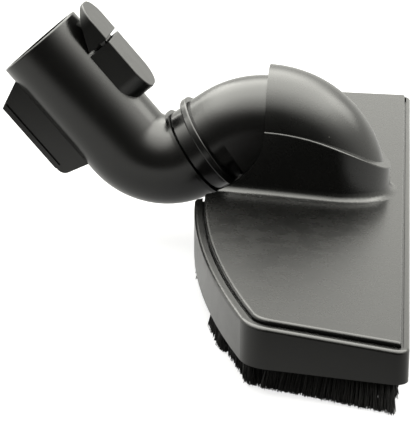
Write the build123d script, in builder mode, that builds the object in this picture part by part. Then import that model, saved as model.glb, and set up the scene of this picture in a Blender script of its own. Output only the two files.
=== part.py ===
from build123d import *

# Wide brush head for hard floors: a low plate with bristle strips under its edge, a hood in its middle,
# a drum elbow that tilts in the hood, and a neck that swivels on the drum's slanted collar and locks onto
# a wand. Millimetres, +Z up, +X towards the front edge. The origin is on the floor, under the tilt axis,
# in the plane of symmetry.

import os
from math import cos, radians, sin, sqrt, tan

# Plate
HEAD_LENGTH = 400.0
FRONT_LAND = 9.6
REAR_REACH = 30.2
REAR_BOW_RADIUS = 480.0
END_SLANT = 10.6
FRONT_CORNER_RADIUS = 5.0
REAR_CORNER_RADIUS = 14.0
SKIRT_HEIGHT = 11.2
FRONT_HEIGHT = 24.3
TOP_SLOPE = 3.6
WALL = 2.5
SOLE_LIFT = 4.0
SOLE_THICKNESS = 2.0
RIM_WIDTH = 3.6
RIM_FRONT_WIDTH = 2.2
RIM_EDGE_RADIUS = 1.4
INNER_CORNER_RADIUS = 0.8
LEDGE_WIDTH = 3.0
LEDGE_DEPTH = 1.6
LEDGE_THICKNESS = 2.0
GROOVE = 0.9
PANEL_RAISE = 1.9
PANEL_EDGE_RADIUS = 1.2

# Hood
HOOD_GAP = 2.5
HOOD_WALL = 2.2
HOOD_TOP_WALL = 2.8
HOOD_RIM_X = 2.0
FLANK_STEP = 1.6
FLANK_TAIL_LENGTH = 29.0
FLANK_TAIL_SINK = 1.0
CREASE_DROP = 21.5
CREASE_SAG = 5.2
CREASE_ROUNDING = 0.8
BASE_FILLET = 4.0
NOTCH_X = -13.0
NOTCH_FLARE = 17.0
LUG_HALF_LENGTH = 9.0
LUG_FOOT_GAP = 1.6
RIM_BACK_DEG = 15.0

# Tilt axis and drum elbow
TILT_HEIGHT = 27.2
DRUM_BEND_RADIUS = 31.3
DRUM_TUBE_RADIUS = 21.7
DRUM_WALL = 2.7
DRUM_FRONT_ANGLE = 45.0
COLLAR_DOWN = 34.6
COLLAR_LENGTH = 18.2
TRUNNION_LENGTH = 3.2
HINGE_PIN_RADIUS = 3.0
SPACER_RADIUS = 6.0
SPACER_THICKNESS = 1.8
SEAL_LENGTH_DEG = 5.0
SEAL_START_DEG = 4.0
SEAL_LEG_RADIUS = 18.0
TILT_RANGE = 40.0
BARREL_GAP = 0.5
BARREL_WALL = 2.0
APRON_DEG = 6.0
PIN_CHAMFER = 0.4

# Swivel collar
RING_GAP = 0.7
RING_LENGTH = 6.6
RING_INSET = 0.5
FLANGE_LENGTH = 3.5
FLANGE_OVERHANG = 2.2
FLANGE_ROUNDING = 0.7
COLLAR_GROOVE_LENGTH = 1.2
COLLAR_GROOVE_DEPTH = 0.7
RING_WALL = 2.7
SPIGOT_WALL = 2.2
BEAD_RISE = 1.3
BEAD_LENGTH = 2.0
SWIVEL_SEAL_THICKNESS = 0.8

# Neck
NECK_RADIUS = 21.3
NECK_WALL = 4.0
NECK_BEND_RADIUS = 24.8
NECK_STUB = 0.5
NECK_RIM_OVERHANG = 1.7
NECK_RIM_LENGTH = 1.6
TUBE_UP = 49.0
TUBE_LENGTH = 63.1
SOCKET_RADIUS = 17.6
SOCKET_GRIP = 36.0
SOCKET_NARROWING = 0.2
SOCKET_DEPTH = 46.0
STOP_WIDTH = 1.4
STOP_LENGTH = 3.0
MOUTH_ROUNDING = 0.8

# Parking rail under the neck
RAIL_START = 7.2
RAIL_FOOT_START = 12.7
RAIL_FOOT_END = 55.6
RAIL_END = 59.4
RAIL_HEIGHT = 12.5
RAIL_HALF_WIDTH = 6.0
RAIL_LIP = 1.2
RAIL_LIP_THICKNESS = 2.4
RAIL_LIP_SHORTFALL = 4.5
RAIL_FRONT_ROUNDING = 1.6
RAIL_REAR_ROUNDING = 4.5

# Wand lock on top of the neck
LOCK_HALF_WIDTH = 12.8
LOCK_END_RADIUS = 10.5
LOCK_HEIGHT = 7.6
PAD_LENGTH = 19.3
PAD_GAP = 1.5
COVER_LENGTH = 29.8
PAD_NOSE_LENGTH = 4.6
PAD_NOSE_DEPTH = 4.2
PAD_HEEL_DEPTH = 11.0
LOCK_EDGE_RADIUS = 0.8
LOCK_WALL = 1.6
LOCK_TRAVEL = 7.0
LOCK_PIN_RADIUS = 1.2
LOCK_PIN_HEIGHT = 3.0
HUB_RADIUS = 2.3
ARM_HALF_WIDTH = 4.3
ARM_THICKNESS = 1.8
NIB_GAP = 1.05
NIB_LENGTH = 4.5
NIB_REACH = 1.5
EAR_THICKNESS = 2.0
EAR_HALF_LENGTH = 2.2
EAR_ROOM = 8.8
LEAF_THICKNESS = 0.4
LEAF_HALF_WIDTH = 3.0
LEAF_START = 5.4
LEAF_RISE = 2.0
LEAF_END = 14.5

# Bristle strips and their bars
BRISTLE_WIDTH = 5.0
BAR_MARGIN = 1.0
BAR_OVERHANG = 0.2
FRONT_BRISTLE_INSET = 5.0
SIDE_BRISTLE_INSET = 3.6
STRIP_GAP = 2.6
END_STRIP_REAR_INSET = 8.6
END_STRIP_FRONT_INSET = 6.5
REAR_CORNER_INSET = 8.5
REAR_CORNER_LENGTH = 25.9
REAR_STRIP_GAP = 7.0
REAR_OUTER_LENGTH = 29.0
REAR_INNER_GAP = 3.2
REAR_INNER_LENGTH = 20.0

# Suction openings in the sole
MOUTH_LENGTH = 45.0
MOUTH_HALF_WIDTH = 22.0
MOUTH_REAR_X = 1.0
SLOT_WIDTH = 10.0
SLOT_START_Y = 42.0
SLOT_END_INSET = 50.0
SLOT_X = 31.0

# Screws that hold the cover from below
SCREW_FRONT_INSET = 19.5
SCREW_END_INSET = 35.0
SCREW_INNER_Y = 62.0
SCREW_REAR_X = 6.0
SCREW_REAR_Y = 112.0
SCREW_RADIUS = 1.5
SCREW_HEAD_RADIUS = 3.0
SCREW_HEAD_HEIGHT = 1.4
SCREW_BITE = 5.0
SCREW_SLOT_WIDTH = 0.8
SCREW_SLOT_DEPTH = 0.6
BOSS_RADIUS = 4.2

# Clearances
PRESS = 0.02
RUNNING = 0.06
SLIDING = 0.3
SEATED = 0.05

# Room enough to cut or grow through everything
PAST_ALL = 120.0

# Turns in degrees, and rounds until the plate's rear corner is found
QUARTER_TURN = 90.0
HALF_TURN = 180.0
CORNER_ROUNDS = 20

# Sides, seen by somebody who looks to the front
LEFT = 1
RIGHT = -1

# Worked-out places
DRUM_REACH = DRUM_BEND_RADIUS + DRUM_TUBE_RADIUS
CHAMBER_HALF_WIDTH = DRUM_TUBE_RADIUS + SLIDING + SPACER_THICKNESS
CHAMBER_RADIUS = DRUM_REACH + HOOD_GAP
CHAMBER_BEND_RADIUS = CHAMBER_RADIUS - CHAMBER_HALF_WIDTH
HOOD_HALF_WIDTH = CHAMBER_HALF_WIDTH + HOOD_WALL
HOOD_RADIUS = CHAMBER_RADIUS + HOOD_TOP_WALL
HOOD_BEND_RADIUS = HOOD_RADIUS - HOOD_HALF_WIDTH
FLANK_HALF_WIDTH = HOOD_HALF_WIDTH + FLANK_STEP
HALF_LENGTH = HEAD_LENGTH / 2
FRONT_REACH = HOOD_BEND_RADIUS + FLANK_HALF_WIDTH + FRONT_LAND
SLOT_END_Y = HALF_LENGTH - SLOT_END_INSET
SCREW_FRONT_X = FRONT_REACH - SCREW_FRONT_INSET
SCREW_PLACES = [
    (SCREW_FRONT_X, HALF_LENGTH - SCREW_END_INSET),
    (SCREW_FRONT_X, SCREW_INNER_Y),
    (SCREW_REAR_X, SCREW_REAR_Y),
]
SOLE_BOTTOM = SKIRT_HEIGHT + SOLE_LIFT
SOLE_TOP = SOLE_BOTTOM + SOLE_THICKNESS
RING_RADIUS = DRUM_TUBE_RADIUS - RING_INSET
FLANGE_RADIUS = DRUM_TUBE_RADIUS + FLANGE_OVERHANG
SPIGOT_RADIUS = RING_RADIUS - RING_WALL - SLIDING
BEAD_RADIUS = SPIGOT_RADIUS + BEAD_RISE
NECK_RIM_RADIUS = NECK_RADIUS + NECK_RIM_OVERHANG
TILT_AXIS = Axis((0, 0, TILT_HEIGHT), (0, 1, 0))


def top_height(x):
    """Height of the rim plane, which slopes down to the front."""
    return FRONT_HEIGHT + tan(radians(TOP_SLOPE)) * (FRONT_REACH - x)


TOP_PLANE = Plane(
    origin=(FRONT_REACH, 0, FRONT_HEIGHT),
    x_dir=(cos(radians(TOP_SLOPE)), 0, -sin(radians(TOP_SLOPE))),
    z_dir=(sin(radians(TOP_SLOPE)), 0, cos(radians(TOP_SLOPE))),
)
PANEL_TOP = TOP_PLANE.offset(PANEL_RAISE)
CREASE_TOP = TILT_HEIGHT + HOOD_BEND_RADIUS + FLANK_STEP / 2


def end_line_y(x, inset=0.0):
    """Half length of the plate at x, moved in from the slanted end edge by inset."""
    return HALF_LENGTH - inset / cos(radians(END_SLANT)) - tan(radians(END_SLANT)) * (FRONT_REACH - x)


def rear_line_x(y, inset=0.0):
    """Rear edge at y, moved in from the bowed edge by inset."""
    bow_centre = REAR_BOW_RADIUS - REAR_REACH
    return bow_centre - sqrt((REAR_BOW_RADIUS - inset) ** 2 - y**2)


def rear_corner(inset):
    """Where the slanted end edge meets the bowed rear edge, both moved in by inset."""
    x = rear_line_x(HALF_LENGTH, inset)
    for _ in range(CORNER_ROUNDS):
        x = rear_line_x(end_line_y(x, inset), inset)
    return x, end_line_y(x, inset)


def plan_outline(front_inset, side_inset):
    """Plan of the plate, moved in at the front and along ends and rear."""
    front_x = FRONT_REACH - front_inset
    front_y = end_line_y(front_x, side_inset)
    corner_x, corner_y = rear_corner(side_inset)
    front_radius = max(FRONT_CORNER_RADIUS - side_inset, INNER_CORNER_RADIUS)
    with BuildSketch() as plan:
        with BuildLine():
            Line((front_x, -front_y), (front_x, front_y))
            Line((front_x, front_y), (corner_x, corner_y))
            ThreePointArc((corner_x, corner_y), (rear_line_x(0, side_inset), 0), (corner_x, -corner_y))
            Line((corner_x, -corner_y), (front_x, -front_y))
        make_face()
        fillet(plan.vertices().group_by(Axis.X)[-1], front_radius)
        fillet(plan.vertices().group_by(Axis.X)[0], REAR_CORNER_RADIUS - side_inset)
    return plan.sketch


def plan_block(front_inset, side_inset, roof_depth, floor_depth=None, floor_height=SOLE_TOP):
    """Block up to roof_depth under the rim plane, from a flat floor or from a depth under the rim."""
    with BuildPart() as block:
        with BuildSketch(Plane.XY.offset(0 if floor_depth is not None else floor_height)):
            add(plan_outline(front_inset, side_inset))
        extrude(amount=PAST_ALL)
        split(bisect_by=TOP_PLANE.offset(-roof_depth), keep=Keep.BOTTOM)
        if floor_depth is not None:
            split(bisect_by=TOP_PLANE.offset(-floor_depth), keep=Keep.TOP)
    return block.part


def chamber(half_width, radius, start_angle, arc):
    """Arched chamber turned about the tilt axis: round above the bend radius, straight-sided below it."""
    bend = radius - half_width
    with BuildPart() as arched:
        with BuildSketch(Plane.YZ):
            with BuildLine():
                Line((-half_width, TILT_HEIGHT), (half_width, TILT_HEIGHT))
                Line((half_width, TILT_HEIGHT), (half_width, TILT_HEIGHT + bend))
                ThreePointArc(
                    (half_width, TILT_HEIGHT + bend),
                    (0, TILT_HEIGHT + radius),
                    (-half_width, TILT_HEIGHT + bend),
                )
                Line((-half_width, TILT_HEIGHT + bend), (-half_width, TILT_HEIGHT))
            make_face()
        revolve(axis=TILT_AXIS, revolution_arc=arc)
    return arched.part.rotate(TILT_AXIS, start_angle)


def slotted_plan(half_width, bend):
    """U-shaped plan of the hood: straight sides from behind the rear edge, round front."""
    with BuildSketch() as plan:
        with Locations(((bend - REAR_REACH - HOOD_RADIUS) / 2, 0)):
            Rectangle(bend + REAR_REACH + HOOD_RADIUS, 2 * half_width)
        with Locations((bend, 0)):
            Circle(half_width)
    return plan.sketch


def notch_plan():
    """Opening at the rear, flared so that the neck can swing to both sides."""
    far_x = -REAR_REACH - WALL
    far_y = CHAMBER_HALF_WIDTH + NOTCH_FLARE * (NOTCH_X - far_x) / (NOTCH_X + REAR_REACH)
    with BuildSketch() as plan:
        with BuildLine():
            Polyline(
                (NOTCH_X, -CHAMBER_HALF_WIDTH),
                (NOTCH_X, CHAMBER_HALF_WIDTH),
                (far_x, far_y),
                (far_x, -far_y),
                close=True,
            )
        make_face()
    return plan.sketch


def notch_wall_plan():
    """Walls beside the rear opening, which keep the air chamber closed."""
    far_x = rear_line_x(CHAMBER_HALF_WIDTH + NOTCH_FLARE) + WALL / 2
    share = (NOTCH_X - far_x) / (NOTCH_X + REAR_REACH)
    slide = WALL * sqrt(1 + (NOTCH_FLARE / (NOTCH_X + REAR_REACH)) ** 2)
    near_y = CHAMBER_HALF_WIDTH
    far_y = CHAMBER_HALF_WIDTH + NOTCH_FLARE * share
    with BuildSketch() as plan:
        with BuildLine():
            Polyline(
                (NOTCH_X, near_y),
                (far_x, far_y),
                (far_x, far_y + slide),
                (NOTCH_X, near_y + slide),
                close=True,
            )
        make_face()
        mirror(about=Plane.XZ)
    return plan.sketch


def screw_sites():
    """Places of the screws on both sides."""
    return [(x, side * y) for x, y in SCREW_PLACES for side in (RIGHT, LEFT)]


# Base shell: wall, rim with a ledge for the cover, sole
with BuildPart() as base_shell:
    add(plan_block(0, 0, 0, floor_height=SKIRT_HEIGHT))
    rim_edges = base_shell.faces().sort_by(Axis.Z)[-1].edges()
    fillet(rim_edges, RIM_EDGE_RADIUS)
    with BuildSketch(Plane.XY.offset(SKIRT_HEIGHT)):
        add(plan_outline(WALL, WALL))
    extrude(amount=SOLE_LIFT, mode=Mode.SUBTRACT)
    ledge_foot = LEDGE_DEPTH + LEDGE_THICKNESS
    add(plan_block(WALL, WALL, ledge_foot), mode=Mode.SUBTRACT)
    add(plan_block(RIM_FRONT_WIDTH + LEDGE_WIDTH, RIM_WIDTH + LEDGE_WIDTH, LEDGE_DEPTH), mode=Mode.SUBTRACT)
    add(plan_block(RIM_FRONT_WIDTH, RIM_WIDTH, -PAST_ALL / 2, floor_depth=LEDGE_DEPTH), mode=Mode.SUBTRACT)
    with BuildSketch(Plane.XY.offset(SOLE_TOP)):
        add(notch_wall_plan())
    extrude(amount=top_height(NOTCH_X) - LEDGE_DEPTH - SOLE_TOP)
    with BuildSketch(Plane.XY.offset(SKIRT_HEIGHT)):
        add(notch_plan())
    extrude(amount=PAST_ALL, mode=Mode.SUBTRACT)
    with BuildSketch(Plane.XY.offset(SOLE_BOTTOM)):
        with Locations((MOUTH_REAR_X + MOUTH_LENGTH / 2, 0)):
            RectangleRounded(MOUTH_LENGTH, 2 * MOUTH_HALF_WIDTH, FRONT_CORNER_RADIUS)
        with Locations(*[(SLOT_X, side * (SLOT_START_Y + SLOT_END_Y) / 2) for side in (RIGHT, LEFT)]):
            RectangleRounded(SLOT_WIDTH, SLOT_END_Y - SLOT_START_Y, SLOT_WIDTH / 2 - SLIDING)
    extrude(amount=SOLE_THICKNESS, mode=Mode.SUBTRACT)
    with BuildSketch(Plane.XY.offset(SOLE_BOTTOM)):
        with Locations(*screw_sites()):
            Circle(SCREW_RADIUS + SLIDING)
    extrude(amount=SOLE_THICKNESS, mode=Mode.SUBTRACT)
base_shell.part.label = "base_shell"


def crease_edges(flank):
    """Upper outer edges of the side walls, in front of the hood's rim."""
    return [
        edge
        for edge in flank.edges()
        if edge.geom_type != GeomType.LINE and (edge @ 0.5).X > HOOD_RIM_X and (edge @ 0.5).Z > TILT_HEIGHT
    ]


def foot_edges(cover):
    """Edges where the side walls of the hood stand on the panel."""
    return [
        edge
        for edge in cover.edges()
        if abs(PANEL_TOP.to_local_coords(edge @ 0.5).Z) < SEATED
        and abs((edge @ 0.5).Y) < FLANK_HALF_WIDTH + SEATED
        and (edge @ 0.5).X > -REAR_REACH / 2
    ]


def flank_block():
    """Side walls of the hood up to the crease, with the swept tail at the rear."""
    tip_x = HOOD_BEND_RADIUS + FLANK_HALF_WIDTH
    tail_x = HOOD_RIM_X - FLANK_TAIL_LENGTH
    tail_z = top_height(tail_x) + PANEL_RAISE - FLANK_TAIL_SINK
    crease_middle = ((HOOD_RIM_X + tip_x) / 2, CREASE_TOP - CREASE_DROP / 2 + CREASE_SAG)
    with BuildPart() as flank:
        with BuildSketch(Plane.XY.offset(SOLE_TOP + SOLE_THICKNESS)):
            add(slotted_plan(FLANK_HALF_WIDTH, HOOD_BEND_RADIUS))
        extrude(amount=PAST_ALL)
        with BuildSketch(Plane.XZ):
            with BuildLine():
                Line((tail_x, 0), (tail_x, tail_z))
                TangentArc((tail_x, tail_z), (HOOD_RIM_X, CREASE_TOP), tangent=(1, 0))
                ThreePointArc((HOOD_RIM_X, CREASE_TOP), crease_middle, (tip_x, CREASE_TOP - CREASE_DROP))
                Line((tip_x, CREASE_TOP - CREASE_DROP), (tip_x, 0))
                Line((tip_x, 0), (tail_x, 0))
            make_face()
        extrude(amount=PAST_ALL, both=True, mode=Mode.INTERSECT)
        fillet(crease_edges(flank), CREASE_ROUNDING)
        split(bisect_by=TOP_PLANE.offset(-LEDGE_DEPTH), keep=Keep.TOP)
    return flank.part


def dome_block():
    """Arched top of the hood, in front of its rim."""
    with BuildPart() as dome:
        add(chamber(HOOD_HALF_WIDTH, HOOD_RADIUS, 0, QUARTER_TURN))
        split(bisect_by=Plane.YZ.offset(HOOD_RIM_X), keep=Keep.TOP)
        split(bisect_by=TOP_PLANE.offset(-LEDGE_DEPTH), keep=Keep.TOP)
    return dome.part


# Top cover: raised panel and hood in one moulding, with bearing lugs and screw bosses inside
with BuildPart() as top_cover:
    panel_side_inset = RIM_WIDTH + GROOVE
    panel_front_inset = RIM_FRONT_WIDTH + GROOVE
    add(plan_block(panel_front_inset, panel_side_inset, -PANEL_RAISE, floor_depth=LEDGE_DEPTH))
    fillet(top_cover.faces().sort_by(Axis.Z)[-1].edges(), PANEL_EDGE_RADIUS)
    add(flank_block())
    fillet(foot_edges(top_cover), BASE_FILLET)
    add(dome_block())
    hollow_turn = QUARTER_TURN + RIM_BACK_DEG
    add(chamber(CHAMBER_HALF_WIDTH, CHAMBER_RADIUS, -RIM_BACK_DEG, hollow_turn), mode=Mode.SUBTRACT)
    with BuildSketch(Plane.XY.offset(SOLE_TOP)):
        add(slotted_plan(CHAMBER_HALF_WIDTH, CHAMBER_BEND_RADIUS))
    extrude(amount=TILT_HEIGHT - SOLE_TOP, mode=Mode.SUBTRACT)
    with BuildSketch(Plane.XY.offset(SOLE_TOP)):
        with Locations((HOOD_RIM_X - HOOD_RADIUS / 2, 0)):
            Rectangle(HOOD_RADIUS, 2 * CHAMBER_HALF_WIDTH)
        add(notch_plan())
    extrude(amount=PAST_ALL, mode=Mode.SUBTRACT)
    lug_foot = SOLE_TOP + LUG_FOOT_GAP
    for start in (CHAMBER_HALF_WIDTH, -FLANK_HALF_WIDTH):
        with BuildSketch(Plane.XZ.offset(start)):
            with Locations((0, (lug_foot + top_height(0)) / 2)):
                Rectangle(2 * LUG_HALF_LENGTH, top_height(0) - lug_foot)
        extrude(amount=FLANK_HALF_WIDTH - CHAMBER_HALF_WIDTH)
    with BuildSketch(Plane.XZ):
        with Locations((0, TILT_HEIGHT)):
            Circle(HINGE_PIN_RADIUS + PRESS)
    extrude(amount=FLANK_HALF_WIDTH + WALL, both=True, mode=Mode.SUBTRACT)
    for place in screw_sites():
        with BuildSketch(Plane.XY.offset(SOLE_TOP)):
            with Locations(place):
                Circle(BOSS_RADIUS)
        extrude(amount=top_height(place[0]) - SOLE_TOP)
    with BuildSketch(Plane.XY.offset(SOLE_TOP)):
        with Locations(*screw_sites()):
            Circle(SCREW_RADIUS + PRESS)
    extrude(amount=SCREW_BITE + SLIDING, mode=Mode.SUBTRACT)
top_cover.part.label = "top_cover"


# Screws of the cover, all alike, driven from below
with BuildPart() as cover_screws:
    with BuildSketch(Plane.XY.offset(SOLE_BOTTOM)):
        with Locations(*screw_sites()):
            Circle(SCREW_HEAD_RADIUS)
    extrude(amount=-SCREW_HEAD_HEIGHT)
    with BuildSketch(Plane.XY.offset(SOLE_BOTTOM)):
        with Locations(*screw_sites()):
            Circle(SCREW_RADIUS)
    extrude(amount=SOLE_THICKNESS + SCREW_BITE)
    with BuildSketch(Plane.XY.offset(SOLE_BOTTOM - SCREW_HEAD_HEIGHT)):
        with Locations(*screw_sites()):
            Rectangle(SCREW_SLOT_WIDTH, SCREW_HEAD_RADIUS)
            Rectangle(SCREW_HEAD_RADIUS, SCREW_SLOT_WIDTH)
    extrude(amount=SCREW_SLOT_DEPTH, mode=Mode.SUBTRACT)
cover_screws.part.label = "cover_screws"


# Hood seal: an arch behind the hood's rim that wipes the drum
with BuildPart() as hood_seal:
    add(chamber(CHAMBER_HALF_WIDTH - SEATED, CHAMBER_RADIUS - SEATED, SEAL_START_DEG, SEAL_LENGTH_DEG))
    wiped_radius = DRUM_REACH + SLIDING
    add(chamber(DRUM_TUBE_RADIUS + SLIDING, wiped_radius, 0, QUARTER_TURN), mode=Mode.SUBTRACT)
    with BuildSketch(Plane.XZ):
        with Locations((0, TILT_HEIGHT)):
            Circle(SEAL_LEG_RADIUS)
    extrude(amount=PAST_ALL, both=True, mode=Mode.SUBTRACT)
hood_seal.part.label = "hood_seal"

# Drum elbow: a round-backed drum with flat sides that tilts in the hood, open to the front. A barrel
# about the tilt axis closes the gap above the sole, and the collar's socket stands on its rear.
DRUM_TURN = QUARTER_TURN + COLLAR_DOWN - DRUM_FRONT_ANGLE
BARREL_TURN = HALF_TURN + TILT_RANGE - COLLAR_DOWN
BARREL_RADIUS = TILT_HEIGHT - SOLE_TOP - BARREL_GAP
COLLAR_DIR = Vector(-cos(radians(COLLAR_DOWN)), 0, -sin(radians(COLLAR_DOWN)))
COLLAR_OUT = Vector(-sin(radians(COLLAR_DOWN)), 0, cos(radians(COLLAR_DOWN)))
TILT_POINT = Vector(0, 0, TILT_HEIGHT)
DRUM_END = TILT_POINT + COLLAR_OUT * DRUM_BEND_RADIUS
COLLAR_POINT = DRUM_END + COLLAR_DIR * COLLAR_LENGTH
COLLAR_PLANE = Plane(origin=COLLAR_POINT, x_dir=(0, 1, 0), z_dir=COLLAR_DIR * -1)
DRUM_END_PLANE = Plane(origin=DRUM_END, x_dir=(0, 1, 0), z_dir=COLLAR_DIR)
BARREL_PLANE = Plane(origin=TILT_POINT, x_dir=(0, 1, 0), z_dir=COLLAR_DIR)
TRUNNION_INNER = DRUM_TUBE_RADIUS - TRUNNION_LENGTH
DRUM_FACE = RING_GAP + RING_LENGTH + FLANGE_LENGTH
BEAD_START = DRUM_FACE + SLIDING
SEAT_END = BEAD_START + BEAD_LENGTH + SLIDING + SWIVEL_SEAL_THICKNESS

with BuildPart() as drum_elbow:
    add(chamber(DRUM_TUBE_RADIUS, DRUM_REACH, -COLLAR_DOWN, DRUM_TURN))
    add(
        chamber(DRUM_TUBE_RADIUS - DRUM_WALL, DRUM_REACH - DRUM_WALL, APRON_DEG - COLLAR_DOWN, DRUM_TURN),
        mode=Mode.SUBTRACT,
    )
    with BuildSketch(COLLAR_PLANE.offset(DRUM_FACE)):
        Circle(DRUM_TUBE_RADIUS - COLLAR_GROOVE_DEPTH)
    extrude(amount=COLLAR_LENGTH - DRUM_FACE)
    with BuildSketch(COLLAR_PLANE.offset(DRUM_FACE + COLLAR_GROOVE_LENGTH)):
        Circle(DRUM_TUBE_RADIUS)
    extrude(amount=COLLAR_LENGTH - DRUM_FACE - COLLAR_GROOVE_LENGTH)
    with BuildSketch(BARREL_PLANE):
        with Locations((0, BARREL_WALL / 2 - BARREL_RADIUS)):
            Rectangle(2 * DRUM_TUBE_RADIUS - TRUNNION_LENGTH, BARREL_WALL)
    revolve(axis=TILT_AXIS.reverse(), revolution_arc=BARREL_TURN)
    for start in (TRUNNION_INNER, -DRUM_TUBE_RADIUS):
        with BuildSketch(Plane.XZ.offset(start)):
            with Locations((0, TILT_HEIGHT)):
                Circle(BARREL_RADIUS)
        extrude(amount=TRUNNION_LENGTH)
    with BuildSketch(DRUM_END_PLANE):
        Circle(DRUM_TUBE_RADIUS - DRUM_WALL)
    revolve(axis=TILT_AXIS, revolution_arc=DRUM_TURN, mode=Mode.SUBTRACT)
    with BuildSketch(COLLAR_PLANE.offset(DRUM_FACE)):
        Circle(DRUM_TUBE_RADIUS - DRUM_WALL)
    extrude(amount=COLLAR_LENGTH - DRUM_FACE, mode=Mode.SUBTRACT)
    with BuildSketch(COLLAR_PLANE.offset(DRUM_FACE)):
        Circle(BEAD_RADIUS + SLIDING)
    extrude(amount=SEAT_END - DRUM_FACE, mode=Mode.SUBTRACT)
    with BuildSketch(Plane.XZ):
        with Locations((0, TILT_HEIGHT)):
            Circle(HINGE_PIN_RADIUS + RUNNING)
    extrude(amount=FLANK_HALF_WIDTH, both=True, mode=Mode.SUBTRACT)
drum_elbow.part.label = "drum_elbow"

# Hinge pins of the tilt axis, pressed into the lugs, and the spacers on them
PIN_START = TRUNNION_INNER - TRUNNION_LENGTH / 2

with BuildPart() as hinge_pin_right:
    with BuildSketch(Plane.XZ.offset(PIN_START)):
        with Locations((0, TILT_HEIGHT)):
            Circle(HINGE_PIN_RADIUS)
    extrude(amount=FLANK_HALF_WIDTH - PIN_START)
    chamfer(hinge_pin_right.edges().filter_by(GeomType.CIRCLE), PIN_CHAMFER)
hinge_pin_right.part.label = "hinge_pin_right"

with BuildPart() as hinge_pin_left:
    add(mirror(hinge_pin_right.part, about=Plane.XZ, mode=Mode.PRIVATE))
hinge_pin_left.part.label = "hinge_pin_left"

with BuildPart() as tilt_spacer_right:
    with BuildSketch(Plane.XZ.offset(CHAMBER_HALF_WIDTH - SPACER_THICKNESS)):
        with Locations((0, TILT_HEIGHT)):
            Circle(SPACER_RADIUS)
            Circle(HINGE_PIN_RADIUS + RUNNING, mode=Mode.SUBTRACT)
    extrude(amount=SPACER_THICKNESS)
tilt_spacer_right.part.label = "tilt_spacer_right"

with BuildPart() as tilt_spacer_left:
    add(mirror(tilt_spacer_right.part, about=Plane.XZ, mode=Mode.PRIVATE))
tilt_spacer_left.part.label = "tilt_spacer_left"

# Collar ring: the glossy ring with its flange, fixed to the drum and trapping the neck's bead
with BuildPart() as collar_ring:
    with BuildSketch(COLLAR_PLANE.offset(RING_GAP)):
        Circle(RING_RADIUS)
    extrude(amount=RING_LENGTH)
    with BuildSketch(COLLAR_PLANE.offset(RING_GAP + RING_LENGTH)):
        Circle(FLANGE_RADIUS)
    extrude(amount=FLANGE_LENGTH)
    circles = collar_ring.edges().filter_by(GeomType.CIRCLE)
    fillet(circles.filter_by(lambda edge: edge.radius > RING_RADIUS + SEATED), FLANGE_ROUNDING)
    with BuildSketch(COLLAR_PLANE):
        Circle(SPIGOT_RADIUS + SLIDING)
    extrude(amount=COLLAR_LENGTH, mode=Mode.SUBTRACT)
collar_ring.part.label = "collar_ring"

# Swivel seal: a flat ring between the neck's bead and the seat in the drum
with BuildPart() as swivel_seal:
    with BuildSketch(COLLAR_PLANE.offset(SEAT_END - SWIVEL_SEAL_THICKNESS)):
        Circle(BEAD_RADIUS)
        Circle(SPIGOT_RADIUS - SPIGOT_WALL, mode=Mode.SUBTRACT)
    extrude(amount=SWIVEL_SEAL_THICKNESS)
swivel_seal.part.label = "swivel_seal"

# Neck: spigot, bend and wand socket, joined end to end
NECK_TURN = COLLAR_DOWN + TUBE_UP
TUBE_DIR = Vector(-cos(radians(TUBE_UP)), 0, sin(radians(TUBE_UP)))
TUBE_TOP = Vector(sin(radians(TUBE_UP)), 0, cos(radians(TUBE_UP)))
BEND_POINT = COLLAR_POINT + COLLAR_DIR * NECK_STUB + COLLAR_OUT * NECK_BEND_RADIUS
BEND_AXIS = Axis(BEND_POINT, (0, 1, 0))
TUBE_START = BEND_POINT - TUBE_TOP * NECK_BEND_RADIUS
MOUTH_POINT = TUBE_START + TUBE_DIR * TUBE_LENGTH
BEND_PLANE = COLLAR_PLANE.offset(-NECK_STUB)
TUBE_PLANE = Plane(origin=TUBE_START, x_dir=(0, 1, 0), z_dir=TUBE_DIR)
MOUTH_PLANE = Plane(origin=MOUTH_POINT, x_dir=(0, 1, 0), z_dir=TUBE_DIR * -1)
SIDE_PLANE = Plane(origin=MOUTH_POINT, x_dir=TUBE_DIR * -1, z_dir=(0, -1, 0))
DECK_PLANE = Plane(origin=MOUTH_POINT, x_dir=TUBE_DIR * -1, z_dir=TUBE_TOP)
LOCK_TOP = NECK_RADIUS + LOCK_HEIGHT
PIVOT_S = PAD_LENGTH + PAD_GAP / 2
PIVOT_H = NECK_RADIUS + LOCK_PIN_HEIGHT
EAR_INNER = ARM_HALF_WIDTH + SLIDING
EAR_OUTER = EAR_INNER + EAR_THICKNESS
NIB_START = SOCKET_GRIP + NIB_GAP
NIB_END = NIB_START + NIB_LENGTH
NIB_SWING = (PIVOT_H - SOCKET_RADIUS + NIB_REACH) * sin(radians(LOCK_TRAVEL))
NIB_WINDOW = NIB_LENGTH + NIB_SWING + 2 * SLIDING

# Neck spigot: the rim, and the sleeve with the bead that the collar ring traps
with BuildPart() as neck_spigot:
    with BuildSketch(COLLAR_PLANE):
        Circle(NECK_RIM_RADIUS)
    extrude(amount=-NECK_RIM_LENGTH)
    with BuildSketch(COLLAR_PLANE):
        Circle(SPIGOT_RADIUS)
    extrude(amount=BEAD_START + BEAD_LENGTH)
    with BuildSketch(COLLAR_PLANE.offset(BEAD_START)):
        Circle(BEAD_RADIUS)
    extrude(amount=BEAD_LENGTH)
    with BuildSketch(COLLAR_PLANE.offset(-NECK_RIM_LENGTH)):
        Circle(SPIGOT_RADIUS - SPIGOT_WALL)
    extrude(amount=NECK_RIM_LENGTH + BEAD_START + BEAD_LENGTH, mode=Mode.SUBTRACT)
neck_spigot.part.label = "neck_spigot"

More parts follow.
